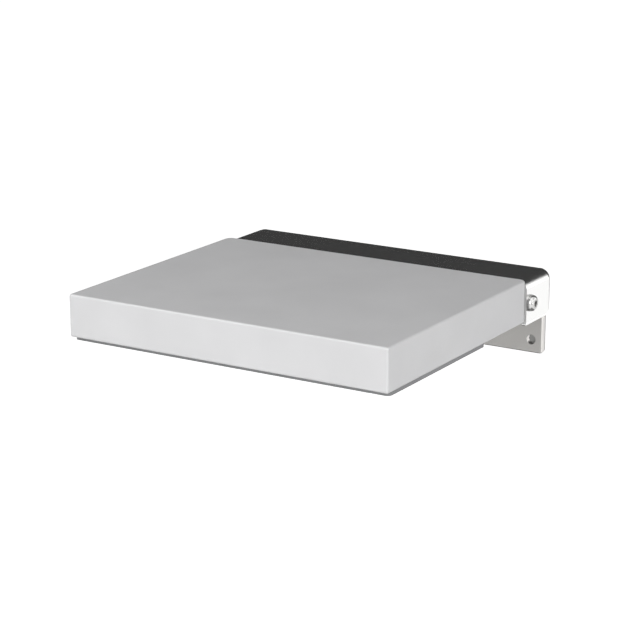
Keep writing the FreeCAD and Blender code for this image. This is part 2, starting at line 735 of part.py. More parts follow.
def make_all():
    """Make every piece of the seat."""
    make_wall_plate()
    make_wall_gasket()
    for side, sign in (("right", ""), ("left", "-")):
        make_arm(side, sign)
        make_bush(side, sign, "outer", sign == "")
        make_bush(side, sign, "inner", sign != "")
        make_pivot_screw(side, sign)
        make_rail(side, sign)
        make_block(side, sign)
        make_stop_pad(side, sign)
        make_rest_pad(side, sign)
    make_axle()
    make_axle_rings()
    make_pivot_washers()
    make_hood()
    make_slab()
    make_board()
    make_base()
    make_stop_bar()
    make_inserts()
    small = ("small_screw_head", "small_screw_head_height", "small_screw")
    large = ("large_screw_head", "large_screw_head_height", "large_screw")
    make_screws("board_screws", BOARD_SCREWS, "seat_bottom", *small, "small_screw_reach",
                "small_screw_socket")
    make_screws("rail_screws", RAIL_SCREWS, "seat_bottom", *small, "small_screw_reach",
                "small_screw_socket")
    make_screws("block_screws", BLOCK_SCREWS, "board_bottom", *large, "block_screw_reach",
                "large_screw_socket")
    make_screws("stop_bar_screws", STOP_SCREWS, "(stop_bar_floor + stop_screw_recess)", *large,
                "stop_screw_reach", "large_screw_socket")
    DOC.recompute()


def pieces():
    """Every finished sub-part: the bodies and the groups of fasteners."""
    return [thing for thing in DOC.Objects
            if thing.TypeId in ("PartDesign::Body", "Part::Compound")]


def check_and_write():
    """Refuse a failed object or a bad shape, then write one file for each piece."""
    for thing in DOC.Objects:
        if "Invalid" in thing.State or "Error" in thing.State:
            raise RuntimeError(f"{thing.Label} failed: {thing.State}")
    for piece in pieces():
        if piece.Shape.isNull() or not piece.Shape.isValid():
            raise RuntimeError(piece.Label + " has a bad shape")
    os.makedirs("parts", exist_ok=True)
    for piece in pieces():
        piece.Shape.exportStep(f"parts/{piece.Label}.step")
        print(f"{piece.Label}: {len(piece.Shape.Solids)} solids, {piece.Shape.Volume:.0f} mm3")


make_sheet()
make_all()
check_and_write()
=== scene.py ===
"""Looks of the fold down wall seat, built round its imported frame. Metres, in the row's frame."""

import logging
import math
from collections.abc import Callable, Iterable
from dataclasses import dataclass, field
from enum import Enum

import bmesh
import bpy
from mathutils import Matrix, Vector

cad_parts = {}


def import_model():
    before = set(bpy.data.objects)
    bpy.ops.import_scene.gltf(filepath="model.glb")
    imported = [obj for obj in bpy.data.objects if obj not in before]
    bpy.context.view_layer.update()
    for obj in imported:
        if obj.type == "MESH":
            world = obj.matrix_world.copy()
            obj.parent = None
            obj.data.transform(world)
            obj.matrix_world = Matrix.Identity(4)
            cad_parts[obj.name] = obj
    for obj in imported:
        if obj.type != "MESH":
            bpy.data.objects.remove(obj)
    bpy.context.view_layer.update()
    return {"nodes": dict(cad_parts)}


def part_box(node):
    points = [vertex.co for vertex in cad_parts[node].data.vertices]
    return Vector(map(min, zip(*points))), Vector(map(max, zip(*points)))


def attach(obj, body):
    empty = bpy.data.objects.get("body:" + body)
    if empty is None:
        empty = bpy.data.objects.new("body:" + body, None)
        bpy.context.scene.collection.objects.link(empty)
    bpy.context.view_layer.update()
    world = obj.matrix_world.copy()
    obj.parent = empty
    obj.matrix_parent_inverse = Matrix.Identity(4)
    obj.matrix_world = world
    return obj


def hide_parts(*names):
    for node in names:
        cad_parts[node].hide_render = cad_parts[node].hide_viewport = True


LOG = logging.getLogger("wall_seat")
MM = 0.001
# Noise stays close to its middle: these two values hold nearly all of it.
NOISE_LOW, NOISE_HIGH = 0.3, 0.7


class Body(Enum):
    """Rigid bodies that pieces ride on."""

    WALL = "wall_bracket"
    SEAT = "seat"


class Slot(Enum):
    """Material slots of the record for new pieces' finishes; they are passed along but not used."""

    SLAB = "slab_polymer"
    HOOD = "hood_steel"
    PLATE = "plate_steel"
    GASKET = "gasket_rubber"
    SCREW = "screw_steel"
    ARM = "arm_steel"


class Grain(Enum):
    """Direction of a metal's brushed or ground lines, as stretch of the pattern along X, Y and Z."""

    ALONG_X = (0.02, 1.0, 1.0)
    ALONG_Y = (1.0, 0.02, 1.0)
    ALONG_Z = (1.0, 1.0, 0.02)
    ROUND_X = (1.0, 0.03, 0.03)


def linear(code: str) -> tuple[float, float, float, float]:
    """Turn an sRGB hex colour into a linear one.

    Args:
        code: colour such as "#A0A0A0".

    Returns:
        Linear red, green, blue and an alpha of 1.
    """
    parts = [int(code[start:start + 2], 16) / 255 for start in (1, 3, 5)]
    levels = [part / 12.92 if part <= 0.04045 else ((part + 0.055) / 1.055) ** 2.4 for part in parts]
    return (*levels, 1.0)


def add(tree: bpy.types.NodeTree, kind: str, feeds: dict, **settings: str) -> bpy.types.Node:
    """Add one node with its settings, and feed its sockets with values or other nodes' outputs.

    Args:
        tree: node tree that takes the node.
        kind: the node's type, without the words that all types start with.
        feeds: socket name or number to a value or an output socket.
        settings: properties of the node.

    Returns:
        The new node.
    """
    node = tree.nodes.new("ShaderNode" + kind)
    for name, value in settings.items():
        setattr(node, name, value)
    for key, value in feeds.items():
        if isinstance(value, bpy.types.NodeSocket):
            tree.links.new(value, node.inputs[key])
        else:
            node.inputs[key].default_value = value
    return node


@dataclass(frozen=True)
class Finish:
    """A finish: two near tones in soft clouds, and a fine texture that breaks up the gloss.

    The texture drives roughness and relief together, so that a dent is a little duller.
    """

    name: str
    colour: str
    shade: str
    texture_mm: float
    roughness: tuple[float, float]
    relief: float
    relief_mm: float = 0.05
    cloud_mm: float = 40.0
    stretch: tuple[float, float, float] = (1.0, 1.0, 1.0)
    metal: float = 0.0
    ior: float = 1.5

    def make(self) -> bpy.types.Material:
        """Build the material."""
        material = bpy.data.materials.new(self.name)
        material.use_nodes = True
        tree = material.node_tree
        shader = tree.nodes["Principled BSDF"]
        place = add(tree, "TexCoord", {}).outputs["Object"]
        texture = self.pattern(tree, place, self.texture_mm, self.stretch)
        dull = add(tree, "MapRange", {"Value": texture, "From Min": NOISE_LOW, "From Max": NOISE_HIGH,
                                      "To Min": self.roughness[0], "To Max": self.roughness[1]})
        bump = add(tree, "Bump", {"Height": texture, "Strength": self.relief,
                                  "Distance": self.relief_mm * MM})
        tree.links.new(self.tones(tree, place, texture), shader.inputs["Base Color"])
        tree.links.new(dull.outputs["Result"], shader.inputs["Roughness"])
        tree.links.new(bump.outputs["Normal"], shader.inputs["Normal"])
        shader.inputs["Metallic"].default_value = self.metal
        if not self.metal:
            shader.inputs["IOR"].default_value = self.ior
        return material

    @staticmethod
    def pattern(tree: bpy.types.NodeTree, place: bpy.types.NodeSocket, size_mm: float,
                stretch: tuple[float, float, float]) -> bpy.types.NodeSocket:
        """Irregular pattern whose blots have a real size.

        Args:
            tree: the material's tree.
            place: Object coordinates.
            size_mm: size of a blot in millimetres.
            stretch: factor on each axis; a small one draws the blots out along it.

        Returns:
            A value round 0.5.
        """
        scale = [factor / (size_mm * MM) for factor in stretch]
        sized = add(tree, "Mapping", {"Vector": place, "Scale": scale})
        return add(tree, "TexNoise", {"Vector": sized.outputs["Vector"], "Scale": 1.0,
                                      "Detail": 3.0}).outputs["Fac"]

    def tones(self, tree: bpy.types.NodeTree, place: bpy.types.NodeSocket,
              texture: bpy.types.NodeSocket) -> bpy.types.NodeSocket:
        """The two tones, blended by clouds, or by the brushed lines on a metal.

        Args:
            tree: the material's tree.
            place: Object coordinates.
            texture: the fine texture.

        Returns:
            The colour.
        """
        even = (1.0, 1.0, 1.0)
        blots = texture if self.metal else self.pattern(tree, place, self.cloud_mm, even)
        share = add(tree, "MapRange", {"Value": blots, "From Min": NOISE_LOW, "From Max": NOISE_HIGH})
        return add(tree, "Mix", {"Factor": share.outputs["Result"], 6: linear(self.colour),
                                 7: linear(self.shade)}, data_type="RGBA").outputs[2]


@dataclass(frozen=True)
class LayeredWood(Finish):
    """Plywood: grain drawn out along its faces, and dark glue lines where the layers' edges show."""

    glue: str = "#5E4228"
    layer_mm: float = 1.5

    def tones(self, tree: bpy.types.NodeTree, place: bpy.types.NodeSocket,
              texture: bpy.types.NodeSocket) -> bpy.types.NodeSocket:
        """Grain tones with glue lines across them.

        Args:
            tree: the material's tree.
            place: Object coordinates.
            texture: the drawn-out grain.

        Returns:
            The colour.
        """
        share = add(tree, "MapRange", {"Value": texture, "From Min": NOISE_LOW, "From Max": NOISE_HIGH})
        wood = add(tree, "Mix", {"Factor": share.outputs["Result"], 6: linear(self.colour),
                                 7: linear(self.shade)}, data_type="RGBA")
        height = add(tree, "SeparateXYZ", {0: place}).outputs["Z"]
        count = add(tree, "Math", {0: height, 1: self.layer_mm * MM}, operation="DIVIDE")
        fraction = add(tree, "Math", {0: count.outputs[0]}, operation="FRACT")
        line = add(tree, "MapRange", {"Value": fraction.outputs[0], "From Min": 0.84, "From Max": 0.88,
                                      "To Max": 0.7})
        return add(tree, "Mix", {"Factor": line.outputs["Result"], 6: wood.outputs[2],
                                 7: linear(self.glue)}, data_type="RGBA").outputs[2]


# Integral-skin polyurethane, moulded: an even pale grey with a satin skin. The pebble of the mould
# is about 0.3 mm on a real seat and is drawn at 1.1 mm, because a finer one would not show.
SKIN = Finish("moulded polyurethane skin", "#D6D6D7", "#D1D1D2", 1.1, (0.46, 0.54), 0.12, 0.08, 70.0)
# Satin stainless sheet: near mirror across the brushing, so that it takes on the studio's black
# and white. The real lines are under 0.1 mm apart and are drawn 0.35 mm apart.
HOOD_STEEL = Finish("satin stainless sheet", "#F3F3F2", "#E9E9E8", 0.35, (0.15, 0.22), 0.04, 0.02,
                    stretch=Grain.ALONG_X.value, metal=1.0)
# Bead blasted stainless plate: a dull, even, slightly warm grey. The pits of the beads are about
# 0.1 mm wide and are drawn at 0.6 mm.
PLATE_STEEL = Finish("bead blasted stainless plate", "#D2D0CD", "#CBC9C6", 0.6, (0.28, 0.34), 0.05, 0.02,
                     metal=1.0)
# Rolled stainless bar with its grey mill surface, also on the weld beads.
ARM_STEEL = Finish("rolled stainless bar", "#CFCFCE", "#BABAB9", 0.5, (0.34, 0.46), 0.08, 0.03,
                   stretch=Grain.ALONG_Z.value, metal=1.0)
# Zinc plate on rolled steel: a cool grey with a faint blue, duller than stainless.
FRAME_STEEL = Finish("zinc plated steel", "#B4B9BD", "#A1A6AB", 0.5, (0.34, 0.46), 0.08, 0.03,
                     stretch=Grain.ALONG_Y.value, metal=1.0)
# Ground bar: fine rings round the axle and a clear shine.
AXLE_STEEL = Finish("ground steel bar", "#D6D6D6", "#C4C4C4", 0.35, (0.2, 0.3), 0.05, 0.02,
                    stretch=Grain.ROUND_X.value, metal=1.0)
# Turned tube: the tool's rings are wider than grinding leaves and catch more light.
SLEEVE_STEEL = Finish("turned steel tube", "#C6C6C5", "#AEAEAD", 0.5, (0.28, 0.38), 0.1, 0.03,
                      stretch=Grain.ROUND_X.value, metal=1.0)
# Cold formed stainless screw: smooth and bright from the die.
SCREW_STEEL = Finish("cold formed stainless", "#C6C6C5", "#B8B8B7", 0.6, (0.14, 0.22), 0.04, 0.02,
                     metal=1.0)
# Turned brass: a warm yellow with drawn rings.
BRASS = Finish("turned brass", "#D9B469", "#C29A4C", 0.4, (0.28, 0.4), 0.08, 0.03,
               stretch=Grain.ALONG_Z.value, metal=1.0)
# ABS sheet, moulded. Its matt mid grey below the pale slab is painted shade: the plate's edge shows as a
# dark band of shade along the slab's lower rims.
BASE_PAINTED_SHADE = Finish("moulded grey ABS as painted shade", "#868788", "#808182", 0.8, (0.5, 0.6), 0.15)
# Nylon, moulded: black with a dull shine where the flanges rub.
NYLON = Finish("moulded black nylon", "#1D1E20", "#26272A", 0.6, (0.36, 0.48), 0.12, ior=1.53)
# Rubber, moulded: black without shine.
PAD_RUBBER = Finish("moulded black rubber", "#17181A", "#202123", 0.6, (0.7, 0.85), 0.25, ior=1.52)
# Closed-cell rubber sheet: light grey, with pores about 0.4 mm wide.
GASKET_RUBBER = Finish("grey closed-cell rubber", "#B8B8B7", "#AEAEAD", 0.4, (0.7, 0.85), 0.3, ior=1.5)
# Birch plywood: pale faces with drawn-out grain and thin dark glue lines between the layers.
PLYWOOD = LayeredWood("birch plywood", "#CDAE82", "#A98457", 1.2, (0.62, 0.75), 0.1,
                      stretch=Grain.ALONG_X.value)

CAD_FINISHES = {
    ARM_STEEL: ("right_arm", "left_arm"),
    NYLON: ("right_bush_inner", "right_bush_outer", "left_bush_inner", "left_bush_outer",
            "right_thrust_washer", "left_thrust_washer"),
    AXLE_STEEL: ("hinge_axle",),
    SLEEVE_STEEL: ("centre_sleeve", "right_inner_sleeve", "left_inner_sleeve", "right_outer_sleeve",
                   "left_outer_sleeve"),
    FRAME_STEEL: ("right_seat_rail", "left_seat_rail", "right_hinge_block", "left_hinge_block",
                  "stop_bar"),
    SCREW_STEEL: ("right_pivot_washer", "left_pivot_washer"),
    # The base plate's mid grey is painted shade along the slab's lower rims.
    BASE_PAINTED_SHADE: ("base_plate",),
    PAD_RUBBER: ("right_stop_pad", "left_stop_pad", "right_rest_pad", "left_rest_pad"),
    PLYWOOD: ("core_board",),
    BRASS: ("board_inserts",),
}


class Wardrobe:
    """Makes each finish once and hands it out."""

    def __init__(self) -> None:
        """Start with no finish made."""
        self.made: dict[Finish, bpy.types.Material] = {}

    def get(self, finish: Finish) -> bpy.types.Material:
        """Give a finish's material, and make it the first time."""
        if finish not in self.made:
            self.made[finish] = finish.make()
        return self.made[finish]


def on_rim(edge: bmesh.types.BMEdge, test: Callable[[Vector], bool]) -> bool:
    """Whether both ends of an edge pass a test of place."""
    return all(test(vert.co) for vert in edge.verts)


def round_edges(mesh: bmesh.types.BMesh, edges: Iterable[bmesh.types.BMEdge], radius: float,
                segments: int) -> None:
    """Round some edges.

    Args:
        mesh: the mesh being shaped.
        edges: edges to round.
        radius: radius in metres.
        segments: steps in each round.
    """
    bmesh.ops.bevel(mesh, geom=list(edges), offset=radius, offset_type="OFFSET", segments=segments,
                    profile=0.5, affect="EDGES", material=-1, clamp_overlap=True)


def sharp_edges(mesh: bmesh.types.BMesh, limit_deg: float = 50.0) -> list[bmesh.types.BMEdge]:
    """Edges whose faces meet at more than an angle."""
    limit = math.radians(limit_deg)
    return [edge for edge in mesh.edges if edge.is_manifold and edge.calc_face_angle(0.0) > limit]


def box_between(low: Vector, high: Vector) -> bmesh.types.BMesh:
    """A box between two corners, in the row's frame.

    Args:
        low: lowest corner.
        high: highest corner.

    Returns:
        The box as a new mesh.
    """
    mesh = bmesh.new()
    bmesh.ops.create_cube(mesh, size=1.0)
    bmesh.ops.scale(mesh, vec=high - low, verts=mesh.verts)
    bmesh.ops.translate(mesh, vec=(high + low) / 2, verts=mesh.verts)
    return mesh


def rod_along(axis: Vector, centre: Vector, radius: float, length: float,
              segments: int = 64, end_radius: float | None = None) -> bmesh.types.BMesh:
    """A closed rod or cone about a centre.

    Args:
        axis: direction of the rod.
        centre: middle of the rod.
        radius: radius at the start.
        length: length along the axis.
        segments: sides of the rod.
        end_radius: radius at the end, if it differs.

    Returns:
        The rod as a new mesh.
    """
    mesh = bmesh.new()
    bmesh.ops.create_cone(mesh, cap_ends=True, segments=segments, radius1=radius,
                          radius2=radius if end_radius is None else end_radius, depth=length)
    turn = Vector((0, 0, 1)).rotation_difference(axis).to_matrix().to_4x4()
    bmesh.ops.transform(mesh, matrix=Matrix.Translation(centre) @ turn, verts=mesh.verts)
    return mesh


def as_object(mesh: bmesh.types.BMesh, name: str) -> bpy.types.Object:
    """Turn a mesh into an object at the origin.

    Args:
        mesh: mesh in the row's frame; it is freed.
        name: the object's name.

    Returns:
        The linked object.
    """
    data = bpy.data.meshes.new(name)
    bmesh.ops.recalc_face_normals(mesh, faces=mesh.faces)
    mesh.to_mesh(data)
    mesh.free()
    made = bpy.data.objects.new(name, data)
    bpy.context.scene.collection.objects.link(made)
    return made


def carve(piece: bpy.types.Object, cutters: Iterable[bmesh.types.BMesh]) -> None:
    """Cut shapes out of a piece, and leave no modifier or cutter behind.

    Args:
        piece: the piece to cut.
        cutters: closed meshes in the row's frame; they are freed.
    """
    tools = [as_object(mesh, piece.name + "_tool") for mesh in cutters]
    for tool in tools:
        cut = piece.modifiers.new("cut", "BOOLEAN")
        cut.operation, cut.solver, cut.object = "DIFFERENCE", "EXACT", tool
    graph = bpy.context.evaluated_depsgraph_get()
    result = bpy.data.meshes.new_from_object(piece.evaluated_get(graph))
    piece.modifiers.clear()
    piece.data = result
    for tool in tools:
        bpy.data.objects.remove(tool)


def dress(piece: bpy.types.Object, material: bpy.types.Material, body: Body, slot: Slot,
          *nodes: str) -> bpy.types.Object:
    """Finish a new piece: shading, material, body and the CAD nodes it stands for.

    Args:
        piece: the piece, in place.
        material: its finish.
        body: the body that it rides on.
        slot: the record's slot of its finish; not used.
        nodes: CAD nodes that it replaces.

    Returns:
        The piece.
    """
    piece.data.materials.clear()
    piece.data.materials.append(material)
    piece.data.shade_smooth()
    piece.data.set_sharp_from_angle(angle=math.radians(40))
    evened = piece.modifiers.new("evened normals", "WEIGHTED_NORMAL")
    evened.keep_sharp = True
    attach(piece, body.value)
    if nodes:
        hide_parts(*nodes)
    LOG.info("%s: %d faces", piece.name, len(piece.data.polygons))
    return piece


@dataclass
class SeatSlab:
    """The firm seat slab: rounded rims outside, pockets and a groove behind, a recess below."""

    front_corner_round: float = 2.2 * MM
    rear_corner_round: float = 8 * MM
    top_round: float = 5.3 * MM
    foot_round: float = 2.2 * MM
    side_wall: float = 18 * MM
    end_wall: float = 11 * MM
    recess_height: float = 18.5 * MM
    pocket_start: float = 78.5 * MM
    pocket_end: float = 152 * MM
    pocket_depth: float = 12 * MM
    pocket_skin: float = 9.5 * MM
    groove_radius: float = 12.5 * MM
    groove_half: float = 184.7 * MM

    def build(self, wardrobe: Wardrobe) -> bpy.types.Object:
        """Build the slab in place of the CAD one."""
        low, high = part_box("seat_slab")
        mesh = box_between(low, high)
        for level, radius in ((low.y, self.front_corner_round), (high.y, self.rear_corner_round)):
            upright = [edge for edge in mesh.edges
                       if on_rim(edge, lambda place, at=level: abs(place.y - at) < 1e-6)
                       and abs(edge.verts[0].co.z - edge.verts[1].co.z) > self.top_round]
            round_edges(mesh, upright, radius, 12)
        for level, radius, steps in ((high.z, self.top_round, 12), (low.z, self.foot_round, 5)):
            rim = [edge for edge in mesh.edges
                   if on_rim(edge, lambda place, at=level: abs(place.z - at) < 1e-6)]
            round_edges(mesh, rim, radius, steps)
        piece = as_object(mesh, "seat_slab_skin")
        carve(piece, self.hollows(low, high))
        return dress(piece, wardrobe.get(SKIN), Body.SEAT, Slot.SLAB, "seat_slab")

    def hollows(self, low: Vector, high: Vector) -> list[bmesh.types.BMesh]:
        """The recess, the two pockets and the groove, as closed cutters."""
        below = low.z - 5 * MM
        behind = high.y + 5 * MM
        recess = box_between(
            Vector((low.x + self.side_wall, low.y + self.end_wall, below)),
            Vector((high.x - self.side_wall, high.y - self.end_wall, low.z + self.recess_height)))
        cutters = [recess]
        for side in (-1, 1):
            start, end = sorted((side * self.pocket_start, side * self.pocket_end))
            cutters.append(box_between(Vector((start, high.y - self.pocket_depth, below)),
                                       Vector((end, behind, high.z - self.pocket_skin))))
        axle_low, axle_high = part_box("hinge_axle")
        centre = (axle_low + axle_high) / 2
        cutters.append(rod_along(Vector((1, 0, 0)), centre, self.groove_radius, 2 * self.groove_half))
        return cutters


@dataclass
class HingeHood:
    """The steel hood: one sheet bent down at both sides, its edges eased by deburring.

    The flanges' outer faces roll down towards the rear and lower rims, as blanking leaves a sheet.
    """

    sheet: float = 5 * MM
    bend_outside: float = 11 * MM
    rear_round: float = 8 * MM
    front_round: float = 2 * MM
    eased: float = 0.5 * MM
    hole_radius: float = 5.3 * MM
    roll_run: float = 6 * MM
    roll_drop: float = 2 * MM

    def build(self, wardrobe: Wardrobe) -> bpy.types.Object:
        """Build the hood in place of the CAD one."""
        low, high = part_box("hinge_hood")
        mesh = box_between(low, high)
        open_faces = [face for face in mesh.faces if abs(face.normal.y) > 0.9 or face.normal.z < -0.9]
        bmesh.ops.delete(mesh, geom=open_faces, context="FACES_ONLY")
        loose = [edge for edge in mesh.edges if not edge.link_faces]
        bmesh.ops.delete(mesh, geom=loose, context="EDGES")
        shoulders = [edge for edge in mesh.edges if len(edge.link_faces) == 2]
        round_edges(mesh, shoulders, self.bend_outside, 16)
        bmesh.ops.recalc_face_normals(mesh, faces=mesh.faces)
        if max(mesh.faces, key=lambda face: face.calc_center_median().z).normal.z < 0:
            bmesh.ops.reverse_faces(mesh, faces=mesh.faces)
        bmesh.ops.solidify(mesh, geom=list(mesh.faces), thickness=self.sheet)
        for level, radius, steps in ((high.y, self.rear_round, 12), (low.y, self.front_round, 5)):
            corner = [edge for edge in mesh.edges
                      if on_rim(edge, lambda place, at=level: abs(place.y - at) < 1e-6
                                and abs(place.z - low.z) < 1e-6)
                      and abs(edge.verts[0].co.x - edge.verts[1].co.x) > self.sheet / 2]
            round_edges(mesh, corner, radius, steps)
        self.roll_rims(mesh, low, high)
        round_edges(mesh, sharp_edges(mesh), self.eased, 3)
        piece = as_object(mesh, "hinge_hood_sheet")
        axle_low, axle_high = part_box("hinge_axle")
        centre = (axle_low + axle_high) / 2
        carve(piece, [rod_along(Vector((1, 0, 0)), centre, self.hole_radius, 2 * (high.x - low.x), 48)])
        return dress(piece, wardrobe.get(HOOD_STEEL), Body.SEAT, Slot.HOOD, "hinge_hood")

    def roll_rims(self, mesh: bmesh.types.BMesh, low: Vector, high: Vector) -> None:
        """Roll the flanges' outer faces down towards their rear and lower rims.

        Args:
            mesh: the bent sheet with its rounded corners.
            low: the hood's lowest corner.
            high: its highest corner.
        """
        for degrees in range(0, 90, 10):
            inset = self.roll_run * (1 - math.sin(math.radians(degrees)))
            planes = (((0, high.y - inset, 0), (0, 1, 0)), ((0, 0, low.z + inset), (0, 0, 1)))
            for place, facing in planes:
                parts = [*mesh.verts, *mesh.edges, *mesh.faces]
                bmesh.ops.bisect_plane(mesh, geom=parts, plane_co=place, plane_no=facing, dist=1e-7)
        for vert in mesh.verts:
            outward = self.outward(vert.co, high)
            share = 1 - self.from_rim(vert.co, low, high) / self.roll_run
            if outward is not None and share > 0:
                drop = self.roll_drop * (1 - math.sqrt(max(0.0, 1 - share ** 2)))
                vert.co -= outward * drop * abs(outward.x)

    def outward(self, place: Vector, high: Vector) -> Vector | None:
        """Direction out of the sheet at a point of its outer face, or None at any other point."""
        over = Vector((abs(place.x) - high.x + self.bend_outside, 0,
                       place.z - high.z + self.bend_outside))
        side = math.copysign(1.0, place.x)
        if over.x > 0 and over.z > 0:
            found, reach = Vector((over.x * side, 0, over.z)).normalized(), over.length - self.bend_outside
        elif over.x > 0:
            found, reach = Vector((side, 0, 0)), over.x - self.bend_outside
        else:
            found, reach = Vector((0, 0, 1)), over.z - self.bend_outside
        return found if abs(reach) < 1e-5 else None

    def from_rim(self, place: Vector, low: Vector, high: Vector) -> float:
        """Distance of a point from the rear and lower rims, round the corner between them."""
        back, up = high.y - place.y, place.z - low.z
        if back < self.rear_round and up < self.rear_round:
            return self.rear_round - math.hypot(self.rear_round - back, self.rear_round - up)
        return min(back, up)


@dataclass
class SocketScrew:
    """A domed screw with a hexagon socket, standing on a point with its head facing out."""

    head_radius: float
    head_height: float
    flat_radius: float
    rim_height: float
    shank_radius: float
    shank_length: float
    socket_across: float
    socket_depth: float
    steps: int = 10

    def shape(self, foot: Vector, outward: Vector, name: str) -> bpy.types.Object:
        """Shape one screw.

        Args:
            foot: middle of the head's underside.
            outward: direction that the head faces.
            name: the object's name.

        Returns:
            The screw, without its finish.
        """
        mesh = bmesh.new()
        verts = [mesh.verts.new(Vector((radius, 0, height))) for radius, height in self.outline()]
        edges = [mesh.edges.new(pair) for pair in zip(verts, verts[1:])]
        bmesh.ops.spin(mesh, geom=verts + edges, cent=(0, 0, 0), axis=(0, 0, 1), angle=math.tau,
                       steps=48, use_merge=True)
        bmesh.ops.remove_doubles(mesh, verts=mesh.verts, dist=1e-7)
        turn = Vector((0, 0, 1)).rotation_difference(outward).to_matrix().to_4x4()
        bmesh.ops.transform(mesh, matrix=Matrix.Translation(foot) @ turn, verts=mesh.verts)
        piece = as_object(mesh, name)
        carve(piece, self.socket(foot, outward))
        return piece

    def outline(self) -> list[tuple[float, float]]:
        """Half outline of the screw, from the shank's end to the middle of the head's top."""
        chamfer = self.shank_radius * 0.2
        points = [(0.0, -self.shank_length), (self.shank_radius - chamfer, -self.shank_length),
                  (self.shank_radius, chamfer - self.shank_length), (self.shank_radius, 0.0),
                  (self.head_radius - chamfer * 0.3, 0.0), (self.head_radius, chamfer * 0.3)]
        for step in range(self.steps + 1):
            turn = math.pi / 2 * step / self.steps
            points.append((self.flat_radius + (self.head_radius - self.flat_radius) * math.cos(turn),
                           self.rim_height + (self.head_height - self.rim_height) * math.sin(turn)))
        return points + [(0.0, self.head_height)]

    def socket(self, foot: Vector, outward: Vector) -> list[bmesh.types.BMesh]:
        """Cutters of the hexagon socket, its drilled bottom and its lead-in."""
        top = foot + outward * self.head_height
        across = self.socket_across / math.sqrt(3)
        over = 1 * MM
        hexagon = rod_along(outward, top + outward * (over - self.socket_depth) / 2, across,
                            self.socket_depth + over, 6)
        drill_tip, drill_mouth, drill_length = across * 0.05, across * 0.8, across * 0.4
        drill = rod_along(outward, top - outward * (self.socket_depth + across * 0.15), drill_tip,
                          drill_length, 24, drill_mouth)
        lead_foot, lead_mouth, lead_length = across * 0.86, across * 1.16, across * 0.35
        lead = rod_along(outward, top, lead_foot, lead_length, 48, lead_mouth)
        return [hexagon, drill, lead]


@dataclass
class Fasteners:
    """All screws of the seat: two in sight at the hinge, the rest driven from below."""

    pivot: SocketScrew = field(default_factory=lambda: SocketScrew(
        8.75 * MM, 5.8 * MM, 4.3 * MM, 1.4 * MM, 5 * MM, 28 * MM, 6 * MM, 3.6 * MM))
    small: SocketScrew = field(default_factory=lambda: SocketScrew(
        4.75 * MM, 2.7 * MM, 2.1 * MM, 0.5 * MM, 2.5 * MM, 11 * MM, 3 * MM, 1.5 * MM))
    large: SocketScrew = field(default_factory=lambda: SocketScrew(
        6.5 * MM, 4.4 * MM, 3.2 * MM, 0.8 * MM, 4 * MM, 22 * MM, 5 * MM, 2.4 * MM))

    def build(self, wardrobe: Wardrobe) -> list[bpy.types.Object]:
        """Build every screw in place of the CAD ones."""
        steel = wardrobe.get(SCREW_STEEL)
        made = []
        for side, way in (("right", 1), ("left", -1)):
            node = side + "_pivot_screw"
            low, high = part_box(node)
            middle = (low + high) / 2
            tip = high.x if way > 0 else low.x
            foot = Vector((tip - way * self.pivot.head_height, middle.y, middle.z))
            piece = self.pivot.shape(foot, Vector((way, 0, 0)), node + "_domed")
            made.append(dress(piece, steel, Body.SEAT, Slot.SCREW, node))
        for node, pattern, rows in (("board_screws", self.small, None), ("rail_screws", self.small, None),
                                    ("block_screws", self.large, None),
                                    ("stop_bar_screws", self.large, 16 * MM)):
            made.append(self.group(node, pattern, rows, steel))
        return made

    def group(self, node: str, pattern: SocketScrew, pitch: float | None,
              steel: bpy.types.Material) -> bpy.types.Object:
        """Build one group of four screws as one piece.

        Args:
            node: CAD node of the group.
            pattern: the screw's sizes.
            pitch: distance between the two screws at each side, where they stand in one line.
            steel: the finish.

        Returns:
            The piece.
        """
        low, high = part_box(node)
        reach = high.z - low.z - pattern.head_height
        screw = SocketScrew(**{**vars(pattern), "shank_length": reach})
        outer = high.x - pattern.head_radius
        if pitch is None:
            places = [(side * outer, place_y) for side in (-1, 1)
                      for place_y in (low.y + pattern.head_radius, high.y - pattern.head_radius)]
        else:
            places = [(side * (outer - step), (low.y + high.y) / 2) for side in (-1, 1)
                      for step in (0.0, pitch)]
        screws = [screw.shape(Vector((place_x, place_y, low.z + pattern.head_height)),
                              Vector((0, 0, -1)), node + "_one") for place_x, place_y in places]
        joined = bmesh.new()
        for one in screws:
            joined.from_mesh(one.data)
            bpy.data.objects.remove(one)
        return dress(as_object(joined, node + "_domed"), steel, Body.SEAT, Slot.SCREW, node)


